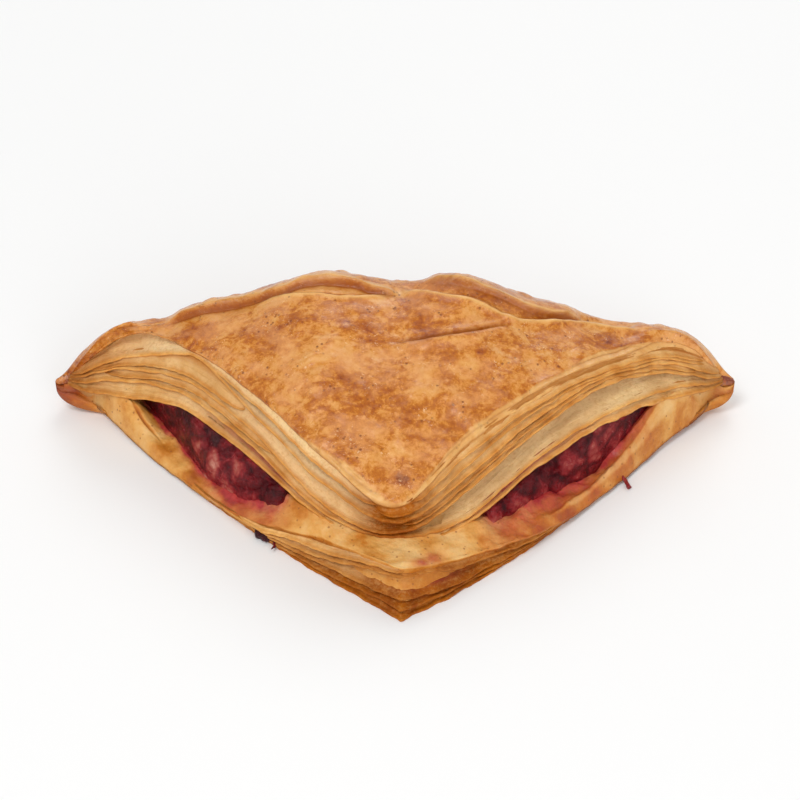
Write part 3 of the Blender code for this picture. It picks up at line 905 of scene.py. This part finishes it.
def make_lower_sheet(material):
    x = stations_of(SHEET_STATIONS)
    rim = sheet_rim(x)
    visible = roof_edge(x)[:, :1] + 8.0 - 6.0 * ease(np.abs(x[:, None]), 74.0, 81.0)
    y = mix(rim[:, :1], visible, np.linspace(0.0, 1.0, SHEET_POINTS) ** 1.25)
    top = sheet_surface(x, rim, y)
    under = sheet_underside(x, rim, top)
    tail = pair(under[0][:, 0], np.minimum(ROOM_FLOOR, top[:, -1, 1]))
    rings = towards_tip(x, np.concatenate([np.stack(under, 1), top, tail[:, None]], 1))
    first, beyond = len(under), len(under) + SHEET_POINTS
    bake, juice = np.zeros(rings.shape[:2]), np.zeros(rings.shape[:2])
    bake[:, first:beyond], juice[:, first:beyond] = sheet_marks(x, y, y - rim[:, :1])
    bake[:, beyond] = bake[:, beyond - 1]
    side_tone = 0.40 + 0.25 * ease(x, 0.0, 20.0) + 0.15 * bake_grain.layered(9.0, x, 165.0)
    bake[:, :first] = (side_tone + 0.4 * ease(-x, 69.0, 79.0))[:, None]
    juice[:, :first] = 0.16 * ease(-x, 70.0, 79.0)[:, None]
    return loft("lower_sheet", with_x(x, rings), [material], {"bake": bake, "juice": juice})


# ---------------------------------------------------------------- leaves at the cut sides

LEAF_STATIONS, LEAF_POINTS = 470, 17
# How far a leaf runs on behind its hollow and drops there, and how far up the hollow goes
LEAF_ROOT, ROOT_DROP, TORN_ROOT_DROP = 4.0, 0.8, 1.6
FULL_RISE, TORN_RISE = 1.06, 0.86
BASE_LEAF_LIFT = 0.55
TIP_ROUNDING, TORN_ROUNDING = 5.0, 7.0
NOWHERE = ((0, 0.0),)


@dataclass
class Leaf:
    """A thin leaf of pastry, from one x to another.

    The edge's height, as a share of the way up the side, how deep the hollow above it is, the juice
    on it and its paleness are (x, value) knots. A torn leaf ends short of the tips.
    """

    span: tuple
    edge: tuple
    recess: tuple
    juice: tuple = NOWHERE
    pale: tuple = NOWHERE
    thick: float = 0.6
    bake: float = 0.1
    torn: bool = False


# Heights are shares of the way from the lowest edge (0) to the skin (1)
UPPER_LEAVES = (
    Leaf(
        (-80.8, 81.0),
        ((-20, 0.0), (-6, -0.12), (0, -0.2), (6, -0.14), (16, -0.02), (24, 0.0)),
        ((-80, 1.2), (-50, 1.6), (-36, 2.0), (-15, 1.4), (0, 2.4), (14, 0.8), (34, 0.7), (60, 1.2)),
        juice=(
            (-60, 0.0), (-46, 0.15), (-36, 0.7), (-27, 0.95), (-20, 0.2), (16, 0.0), (22, 0.95),
            (32, 0.7), (46, 0.2), (60, 0.0),
        ),
        thick=0.8,
    ),
    Leaf(
        (-80.6, 80.8),
        (
            (-67, 0.28), (-50, 0.25), (-33, 0.19), (-17, 0.06), (0, 0.0), (8, 0.0), (17, 0.06),
            (33, 0.13), (50, 0.15), (67, 0.2),
        ),
        (
            (-80, 1.2), (-60, 2.0), (-33, 2.6), (-17, 1.8), (0, 1.6), (8, 3.5), (17, 5.4), (33, 6.2),
            (50, 6.2), (62, 4.2), (74, 2.2), (80, 1.4),
        ),
        juice=((-14, 0.0), (-8, 0.55), (-3, 0.55), (3, 0.0)),
        pale=((8, 0.0), (20, 0.5), (60, 0.5), (74, 0.2)),
    ),
    Leaf(
        (-72.0, -27.0),
        ((-66, 0.36), (-50, 0.35), (-36, 0.3), (-26, 0.26)),
        ((-26, 0.8),),
        thick=0.4, bake=0.3, torn=True,
    ),
    Leaf(
        (-80.2, 80.4),
        (
            (-80, 0.5), (-67, 0.51), (-50, 0.48), (-33, 0.44), (-17, 0.2), (-8, 0.13), (0, 0.13),
            (8, 0.28), (17, 0.42), (33, 0.53), (50, 0.72), (67, 0.54), (80, 0.4),
        ),
        (
            (-80, 1.5), (-60, 2.2), (-50, 4.0), (-33, 2.8), (-17, 3.6), (0, 2.6), (17, 1.0), (50, 1.0),
            (80, 1.2),
        ),
        pale=((-50, 0.0), (-38, 0.6), (-20, 0.7), (-8, 0.2), (0, 0.0)),
    ),
    Leaf(
        (-76.0, -35.0),
        ((-76, 0.55), (-66, 0.57), (-54, 0.58), (-44, 0.56), (-34, 0.49)),
        ((-34, 0.7),),
        thick=0.35, bake=0.25, torn=True,
    ),
    Leaf(
        (0.0, 76.0),
        ((0, 0.24), (8, 0.37), (17, 0.51), (33, 0.62), (50, 0.79), (67, 0.64), (76, 0.5)),
        ((0, 0.8), (33, 0.9), (76, 0.8)),
        thick=0.45, bake=0.25, torn=True,
    ),
    Leaf(
        (-79.6, 79.8),
        (
            (-80, 0.64), (-67, 0.7), (-58, 0.77), (-52, 0.9), (-47, 0.98), (-42, 0.88), (-33, 0.7),
            (-17, 0.56), (0, 0.5), (8, 0.52), (17, 0.62), (33, 0.72), (50, 0.87), (67, 0.75), (80, 0.6),
        ),
        (
            (-80, 1.8), (-64, 5.6), (-54, 4.2), (-44, 3.0), (-33, 4.2), (-17, 4.2), (-6, 2.8), (8, 1.4),
            (17, 1.2), (50, 1.0), (80, 1.2),
        ),
        pale=(
            (-74, 0.0), (-66, 0.3), (-58, 0.9), (-50, 1.0), (-44, 0.5), (-35, 1.0), (-17, 1.0), (-8, 0.4),
            (0, 0.0),
        ),
        thick=0.7,
    ),
    Leaf(
        (-47.0, -3.0),
        ((-46, 0.92), (-33, 0.85), (-17, 0.8), (-4, 0.76)),
        ((-46, 0.8), (-25, 1.2), (-4, 0.8)),
        pale=((-4, 0.8),),
        thick=0.35, torn=True,
    ),
    Leaf(
        (-6.0, 77.0),
        ((-4, 0.66), (8, 0.68), (17, 0.75), (33, 0.83), (50, 0.91), (67, 0.85), (78, 0.75)),
        ((33, 0.9), (78, 0.8)),
        thick=0.5, bake=0.2, torn=True,
    ),
    Leaf(
        (2.0, 76.5),
        ((2, 0.84), (17, 0.88), (33, 0.92), (50, 0.95), (67, 0.92), (78, 0.88)),
        ((78, 0.8),),
        thick=0.5, bake=0.15, torn=True,
    ),
)
# Heights are shares of the way from the table (0) to the lower sheet's rim (1)
BASE_LEAVES = (
    Leaf(
        (-66.0, 66.0),
        ((60, 0.0),),
        ((-60, 0.5), (0, 1.3), (60, 0.5)),
        bake=0.9,
    ),
    Leaf(
        (-56.0, 56.0),
        ((-33, 0.2), (-17, 0.14), (-8, 0.22), (2, 0.22), (17, 0.16), (33, 0.2)),
        ((-50, 0.5), (-17, 1.4), (0, 2.4), (17, 1.4), (50, 0.5)),
        juice=((5, 0.0), (8, 0.5), (12, 0.5), (16, 0.0)),
        thick=0.5, bake=0.75,
    ),
    Leaf(
        (-52.0, 54.0),
        (
            (-50, 0.5), (-33, 0.48), (-17, 0.44), (-8, 0.38), (2, 0.45), (8, 0.36), (17, 0.34),
            (25, 0.38), (50, 0.5),
        ),
        ((-50, 0.5), (-17, 1.8), (0, 4.0), (10, 3.0), (25, 1.6), (50, 0.5)),
        juice=((3, 0.0), (6, 0.7), (12, 0.6), (16, 0.0)),
        thick=0.5, bake=0.5,
    ),
    Leaf(
        (-44.0, 42.0),
        (
            (-40, 0.8), (-28, 0.74), (-17, 0.62), (-8, 0.88), (2, 0.93), (8, 0.95), (17, 0.8), (25, 0.78),
            (36, 0.8),
        ),
        ((-40, 0.5), (-17, 1.6), (-8, 1.4), (0, 1.4), (8, 0.8)),
        thick=0.5, bake=0.3, torn=True,
    ),
    Leaf(
        (-38.0, 6.0),
        ((-25, 1.0), (-17, 0.95), (-10, 0.98), (-4, 1.02), (6, 1.05)),
        ((-36, 0.6), (-17, 1.4), (6, 1.0)),
        pale=((-14, 0.0), (-4, 0.8)),
        thick=0.55, torn=True,
    ),
)


def raised_foot(x):
    """The foot line, raised by about the lowest leaf's thickness."""
    return sheet_foot(x, BASE_LEAF_LIFT)


def pile_edge(x):
    return base_edge(x) + pair(route(x, FOOT_SETBACK), 0.0)


def edge_above(leaves, i):
    """The edge of the next full-length leaf above, or of the skin or rim above them all."""
    full = [leaf.edge for leaf in leaves[i + 1 :] if not leaf.torn]
    return full[0] if full else ((-90, 1.0), (90, 1.0))


def browned_ends(x):
    """The leaves are baked darker at the tips and round the corner."""
    return 0.55 * ease(-x, 66.0, 79.0) + 0.4 * ease(x, 68.0, 80.0) + 0.95 * hill(x + 0.5, 8.5)


def browned_corner(x):
    """The base is darker to the right of the corner and just round it."""
    return 0.32 * ease(x, -8.0, 6.0) + 0.18 * ease(x, -30.0, -4.0) * fall(x, 20.0, 40.0)


def leaf_hollow(x, leaf, above, low, high, grain):
    """A leaf's upper side, from its ragged edge over a ledge up the hollow above it."""
    share = route(x, leaf.edge) + 0.012 * grain.layered(14.0, x) + 0.007 * grain.layered(4.0, x, 3.0)
    gap = np.maximum(0.5 / np.linalg.norm(high - low, axis=1), route(x, above) - share)
    recess = route(x, leaf.recess) * (1.0 + 0.25 * grain(14.0, x, 5.0))
    flare = 0.45 * grain.layered(11.0, x, 9.0) + 0.38 * grain.layered(2.8, x, 12.0, octaves=4)
    t = np.linspace(0.0, 1.0, LEAF_POINTS)
    rise = t**1.5 * (TORN_RISE if leaf.torn else FULL_RISE)
    inward = np.sin(np.minimum(1.0, 1.1 * t) * math.pi / 2.0) ** 0.85 * (1.0 - 0.15 * ease(t, 0.75, 1.0))
    place = mix(low[:, None], high[:, None], (share[:, None] + gap[:, None] * rise)[..., None])
    shift = recess[:, None] * inward + flare[:, None] * fall(t, 0.0, 0.5) - 0.7 * fall(t, 0.0, 0.16)
    return place + pair(shift, 0.0)


def with_strata(x, upper, lay, grain):
    """The hollow with the fine layers and dimples of its torn edges."""
    slope = np.gradient(upper, axis=1)
    slope /= np.maximum(1e-6, np.linalg.norm(slope, axis=2, keepdims=True))
    column = x[:, None]
    strata = grain(1.0, column / 16.0, lay / 0.75, 3.0) + 0.6 * grain(1.0, column / 7.0, lay / 0.4, 8.0)
    lift = 0.22 * (strata + grain.layered(4.0, column, lay, 40.0))
    lift *= ease(np.linspace(0.0, 1.0, LEAF_POINTS), 0.02, 0.2)
    return upper + pair(-slope[..., 1], slope[..., 0]) * lift[..., None]


def leaf_ends(x, leaf, rings):
    """Rings rounded off where the leaf ends: a torn one into its own middle, others into the tips."""
    half, middle = (leaf.span[1] - leaf.span[0]) / 2.0, (leaf.span[0] + leaf.span[1]) / 2.0
    rounding = TORN_ROUNDING if leaf.torn else TIP_ROUNDING
    size = round_off(np.clip((np.abs(x - middle) - half + rounding) / rounding, 0.0, 1.0))[:, None, None]
    if leaf.torn:
        return mix(rings.mean(1, keepdims=True) + np.array([2.5, 0.0]), rings, size)
    edge_height = rings[:, LEAF_POINTS + 1 : LEAF_POINTS + 2, 1]
    return mix(pair(HIDDEN_TIP[0], edge_height * 0.96), rings, size)


def make_leaf(name, low, high, leaf, above, seed, material, browned):
    """One leaf from end to end: a ragged thin edge, a ledge that catches light, and a hollow above it."""
    x = stations_of(LEAF_STATIONS, *leaf.span)
    grain = Grain(seed)
    upper = leaf_hollow(x, leaf, above, low(x), high(x), grain)
    lay = distance_along(upper)
    upper = with_strata(x, upper, lay, grain)
    root = upper[:, -1:] + np.array([LEAF_ROOT, -(TORN_ROOT_DROP if leaf.torn else ROOT_DROP)])
    upper = within(x[:, None], np.concatenate([upper, root], 1))
    t = np.append(np.linspace(0.0, 1.0, LEAF_POINTS), 1.0)
    drop = (leaf.thick * (1.0 + 0.5 * grain.layered(7.0, x, 15.0)))[:, None] * (1.0 - 0.4 * t)
    lower = upper + pair(0.3 * drop, -drop)
    front = mix(upper[:, :1], lower[:, :1], 0.55) + np.array([-0.10, 0.0])
    rings = leaf_ends(x, leaf, towards_tip(x, np.concatenate([lower[:, ::-1], front, upper], 1)))

    lay = np.concatenate([np.zeros((len(x), len(t) + 1)), lay, lay[:, -1:] + LEAF_ROOT], 1)
    pale, juice = route(x, leaf.pale)[:, None], route(x, leaf.juice)[:, None]
    # deep sets the painted crease shade: full on the underside, rising up the hollow, and weaker where the
    # leaf is pale.
    deep = np.concatenate([np.ones(len(t)), [0.0], t]) * (1.0 - 0.35 * (pale > 0.0) * ease(pale, 0.0, 0.5))
    bake = leaf.bake + 0.25 * grain.layered(15.0, x, 30.0)[:, None] + browned(x)[:, None]
    values = {
        "lay": lay,
        "deep": deep,
        "bake": np.clip(bake, 0.0, 1.0),
        "juice": np.clip(juice * (0.15 + 0.85 * ease(deep, 0.08, 0.35)) * (lay > 0.0), 0.0, 1.0),
        "pale": np.clip(pale, 0.0, 1.0),
        "seed": float(seed % 17),
    }
    return loft(name, with_x(x, rings), [material], values)


def make_leaves(material):
    pieces = []
    for place, leaves, low, high, seed, browned in (
        ("upper", UPPER_LEAVES, roof_edge, skin_edge, 100, browned_ends),
        ("base", BASE_LEAVES, raised_foot, pile_edge, 200, browned_corner),
    ):
        for i, leaf in enumerate(leaves):
            name, above = f"{place}_leaf_{i + 1}", edge_above(leaves, i)
            pieces.append(make_leaf(name, low, high, leaf, above, seed + i, material, browned))
    return pieces


# ---------------------------------------------------------------- the filling

JAM_STATIONS, FACE_POINTS = 420, 84
JAM_HALF_LENGTH = 66.0
FRUIT_PITCH, SHRED_PITCH = 6.2, 2.3
STRAND_STATIONS, STRAND_POINTS = 26, 14
# How far the fruit reaches forward of the front edge of the room's roof
FRUIT_REACH = (
    (-66, -8.0), (-62, -4.5), (-60, -2.6), (-57, -1.8), (-53, -0.2), (-51, 2.0), (-48, 4.8), (-45, 7.2),
    (-42, 6.6), (-37, 5.2), (-30, 4.6), (-24, 2.0), (-18, -3.0), (14, -3.0), (21, 1.0), (28, 2.6),
    (36, 3.0), (44, 1.6), (52, 0.2), (60, -1.4), (66, -3.0),
)


def fruit_front(x):
    """How far forward the filling reaches on the lower sheet."""
    uneven = 0.9 * jam_grain.layered(9.0, x, 3.0)
    front = np.maximum(along(x, ROOF_EDGE_Y) - route(x, FRUIT_REACH, 1.2) + uneven, foot_y(x) + 1.0)
    closed = along(x, ROOF_EDGE_Y) + 10.0
    return mix(closed, front, ease(mouth_open(x, 1.0), 0.0, 0.8))


def fruit_face(x, front, shoulder, angle):
    """The filling's front as rings of (y, z), from the lower sheet up to the leaves' underside."""
    roof_y = along(x, ROOF_EDGE_Y)[:, None]
    y = mix(shoulder[:, None], front[:, None], np.cos(angle))
    low = sheet_top(x[:, None], y) - 0.8
    under_roof = roof_height(x[:, None], np.maximum(y, roof_y)) - 0.6
    high = under_roof - 0.35 * np.maximum(0.0, roof_y - y)
    return pair(y, np.maximum(low, mix(low, high, np.sin(angle) ** 0.75)))


def lumpy(x, points, angle):
    """The face's points shaped into cherries and shreds, and how light the pulp is at each."""
    px, py, pz = (points[..., k] for k in range(3))
    warp = np.stack([jam_grain(4.0, px, py, pz + k) for k in (11, 22, 33)], -1)
    near, following, number = jam_grain.cells(FRUIT_PITCH, points + 1.1 * warp)
    small, small_next, _ = wrinkle_grain.cells(SHRED_PITCH, points + 0.6 * warp)
    relief = 2.1 * round_off(near / 0.85) - 1.6 + 0.70 * round_off(small / 0.9)
    relief += 0.30 * jam_grain.layered(1.6, px, py, pz + 50.0)
    roof_y = along(x, ROOF_EDGE_Y)[:, None]
    relief *= 1.0 - 0.75 * ease(py - roof_y, -1.5, 1.5)
    points = proud(points, relief)
    under_roof = roof_height(x[:, None], np.maximum(points[..., 1], roof_y)) - 0.3
    points[..., 2] = np.minimum(points[..., 2], under_roof)
    # Painted shade: the pulp is darker in the crevices between the cherries and shreds.
    crevice_shade = 0.45 + 0.55 * ease(following - near, 0.0, 0.45)
    crevice_shade *= 0.75 + 0.25 * ease(small_next - small, 0.0, 0.4)
    pale = (swell(x, -41.0, 12.0, 0.34) + swell(x, -25.0, 12.0, 0.22) + swell(x, 47.0, 14.0, 0.26))[:, None]
    pulp = (0.20 + 0.44 * number**1.5 + pale * (0.4 + 0.6 * number)) * crevice_shade
    pulp += 0.25 * fall(angle, 0.0, 0.25) * (0.5 + 0.5 * jam_grain(7.0, x, 400.0))[:, None]
    return points, np.clip(pulp, 0.0, 1.0)


def make_jam(material):
    x = stations_of(JAM_STATIONS, -JAM_HALF_LENGTH, JAM_HALF_LENGTH)
    front = fruit_front(x)
    shoulder = np.maximum(front + 2.0, along(x, ROOF_EDGE_Y) + 4.5)
    back = np.maximum(shoulder + 3.0, back_y(x) - ROOM_BACK_WALL - 1.0)
    angle = np.linspace(0.0, math.pi / 2.0, FACE_POINTS)
    points, pulp = lumpy(x, with_x(x, fruit_face(x, front, shoulder, angle)), angle)
    inward = [mix(shoulder, back, t) for t in (0.3, 0.6, 1.0)]
    ceiling = np.stack([pair(y, roof_height(x, y) - 0.3) for y in inward], 1)
    floor = np.stack([pair(mix(back, shoulder, t), ROOM_FLOOR - 0.8) for t in (0.0, 0.5, 0.9)], 1)
    floor[..., 1] = np.minimum(floor[..., 1], points[:, :1, 2])
    rings = np.concatenate([floor, points[..., 1:], ceiling], 1)
    size = np.sqrt(np.maximum(0.0, 1.0 - (x / (JAM_HALF_LENGTH + 0.5)) ** 8))[:, None, None]
    rings = mix(rings.mean(1, keepdims=True), rings, size)
    values = np.full(rings.shape[:2], 0.3)
    values[:, floor.shape[1] : floor.shape[1] + FACE_POINTS] = pulp
    return loft("jam", with_x(x, rings), [material], {"pulp": values})


def make_strand(name, path, radii, seed, pulp, material):
    """A small lumpy drip or thread along a path of (x, y, z) points."""
    t, knots = np.linspace(0.0, 1.0, STRAND_STATIONS), np.linspace(0.0, 1.0, len(path))
    middle = np.stack([np.interp(t, knots, path[:, k]) for k in range(3)], -1)
    turn = np.linspace(0.0, 2.0 * math.pi, STRAND_POINTS + 1)[:-1]
    ahead = np.gradient(middle, axis=0)
    ahead /= np.linalg.norm(ahead, axis=1, keepdims=True)
    side = np.cross(ahead, (0.12, 0.2, 1.0))
    side /= np.linalg.norm(side, axis=1, keepdims=True)
    up = np.cross(side, ahead)
    ring = side[:, None] * np.cos(turn)[:, None] + up[:, None] * np.sin(turn)[:, None]
    lumps = Grain(seed).layered(1.6, middle[:, :1] + ring[..., 0], middle[:, 1:2] + ring[..., 1])
    size = np.interp(t, knots, radii)[:, None] * (1.0 + 0.6 * lumps)
    points = middle[:, None] + ring * size[..., None]
    points[..., 2] = np.maximum(points[..., 2], 0.1)
    return loft(name, points, [material], {"pulp": pulp})


def make_drips(material):
    """Burnt juice and its thread at the left foot, and a red drip at the right foot."""
    burnt, red = (np.array([x, foot_y(x), 0.0]) for x in (-30.2, 54.4))
    juice = burnt + ((-2.2, 1.0, 1.4), (0.0, -0.2, 1.3), (2.6, -1.6, 0.8))
    thread = burnt + ((1.5, -1.2, 0.9), (2.4, -3.4, 0.7), (1.6, -5.2, 1.3))
    drip = red + ((-1.6, 3.6, 2.4), (0.0, 0.8, 1.5), (1.0, -1.0, 0.9), (1.5, -2.2, 0.6))
    return [
        make_strand("burnt_juice", juice, (0.9, 1.5, 0.7), 71, 0.0, material),
        make_strand("burnt_thread", thread, (0.5, 0.35, 0.2), 72, 0.3, material),
        make_strand("red_drip", drip, (0.6, 0.5, 0.45, 0.7), 73, 0.6, material),
    ]


# ---------------------------------------------------------------- stage

VIEW_HEIGHT = math.radians(37.0)
VIEW_DISTANCE = 700.0
AIM = (0.0, 4.2, 12.0)
FRAME_MM = 189.3
SHIFT = (0.00625, 0.055)
FLOOR_HALF = 4000.0
LIGHT_AIM = (0.0, 0.0, 15.0)


def make_stage():
    corners = [(x * FLOOR_HALF, y * FLOOR_HALF, 0.0) for x, y in ((-1, -1), (1, -1), (1, 1), (-1, 1))]
    material = Look("white_table").surface({"Base Color": (0.93, 0.93, 0.925), "Roughness": 0.6})
    floor = mesh_object("table", corners, [[0, 1, 2, 3]], [material])
    world = bpy.data.worlds.new("studio")
    world.use_nodes = True
    bpy.context.scene.world = world
    background = world.node_tree.nodes["Background"]
    background.inputs["Color"].default_value = (1.0, 1.0, 1.0, 1.0)
    background.inputs["Strength"].default_value = 0.54
    add_area_light("key", (-700.0, -900.0, 1900.0), 900.0, 17.0)
    add_area_light("front", (600.0, -1950.0, 750.0), 1300.0, 15.5)
    add_area_light("back", (300.0, 1900.0, 1500.0), 1200.0, 13.0)


def add_area_light(name, place, size, power):
    light = bpy.data.lights.new(name, "AREA")
    light.size = size * MM
    light.energy = power
    obj = bpy.data.objects.new(name, light)
    obj.location = Vector(place) * MM
    obj.rotation_euler = (Vector(LIGHT_AIM) * MM - obj.location).to_track_quat("-Z", "Y").to_euler()
    bpy.context.scene.collection.objects.link(obj)


def make_camera():
    data = bpy.data.cameras.new("camera")
    camera = bpy.data.objects.new("camera", data)
    outward = Vector((0.0, -math.cos(VIEW_HEIGHT), math.sin(VIEW_HEIGHT)))
    camera.location = (Vector(AIM) + outward * VIEW_DISTANCE) * MM
    camera.rotation_euler = (-outward).to_track_quat("-Z", "Y").to_euler()
    data.lens = data.sensor_width * VIEW_DISTANCE / FRAME_MM
    data.shift_x, data.shift_y = SHIFT
    data.clip_start = 0.01
    bpy.context.scene.collection.objects.link(camera)
    bpy.context.scene.camera = camera
    bpy.context.scene.view_settings.view_transform = "Standard"


# ---------------------------------------------------------------- making everything


def main():
    make_stage()
    make_camera()
    leaf, jam_look = leaf_material(), jam_material()
    crust = make_crust(skin_material(), leaf)
    pastry = [crust, make_lower_sheet(sheet_material()), *make_leaves(leaf)]
    jam = make_jam(jam_look)
    fruit = [jam, *make_drips(jam_look)]
    for pieces, slot in ((pastry, "pastry"), (fruit, "filling")):
        for piece in pieces:
            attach(piece, "root")
    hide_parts("pastry")
    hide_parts("filling")


main()
